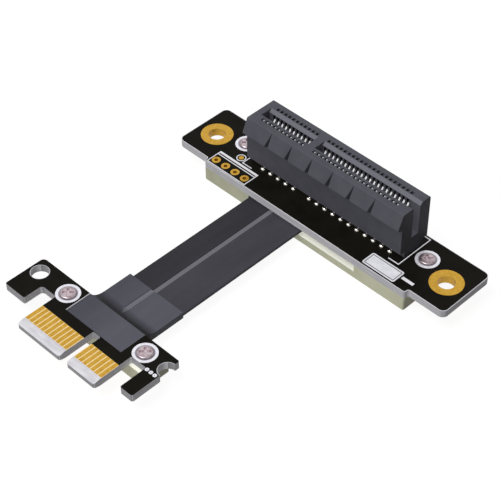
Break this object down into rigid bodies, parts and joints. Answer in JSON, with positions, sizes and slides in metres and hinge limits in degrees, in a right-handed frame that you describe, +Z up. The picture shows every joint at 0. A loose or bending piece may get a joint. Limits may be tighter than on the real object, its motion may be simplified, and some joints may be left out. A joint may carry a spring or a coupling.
{
  "type": "pcie extension cable",
  "caption": "Short flat-ribbon riser: a small edge-connector plug board joined by a flat cable to a board with an open-ended card slot, plated mounting holes and screwed-on covers.",
  "frame": {"origin": "under the middle of the part's outline, on the surface that its covers lie on", "axes": "+X along the card slot towards its open end, +Y from the plug board to the slot board, +Z up out of the slot"},
  "size_m": [0.0668, 0.0664, 0.0156],
  "materials": {
    "board": "glossy solder mask over pale laminate",
    "gold": "gold plating",
    "tin": "bright tin",
    "housing": "moulded, satin",
    "cover": "pale moulded plastic",
    "screw": "plated steel",
    "ribbon": "flexible jacket, satin",
    "copper": "bare copper",
    "boot": "moulded, satin",
    "print": "printed white ink"
  },
  "bodies": {
    "root": {"socket_board": "board", "plug_board": "board", "mount_ring_left": "gold", "mount_ring_right": "gold", "header_plating": "gold", "test_pad": "gold", "edge_contacts_top": "gold", "edge_contacts_bottom": "gold", "socket_wire_pads": "gold", "plug_wire_pads": "gold", "slot_contacts_front": "tin", "slot_contacts_rear": "tin", "slot_solder_joints": "tin", "socket_screw_pads": "tin", "plug_screw_pads": "tin", "plug_vias": "tin", "slot_base": "housing", "slot_wall_front": "housing", "slot_wall_rear": "housing", "slot_closed_end": "housing", "slot_key_rib": "housing", "socket_cover": "cover", "plug_cover": "cover", "socket_screw_left": "screw", "socket_screw_right": "screw", "plug_screw_left": "screw", "plug_screw_right": "screw", "ribbon_jacket": "ribbon", "ribbon_conductors": "copper", "cable_boot": "boot", "socket_silkscreen": "print", "socket_label_field": "print"}
  },
  "joints": []
}
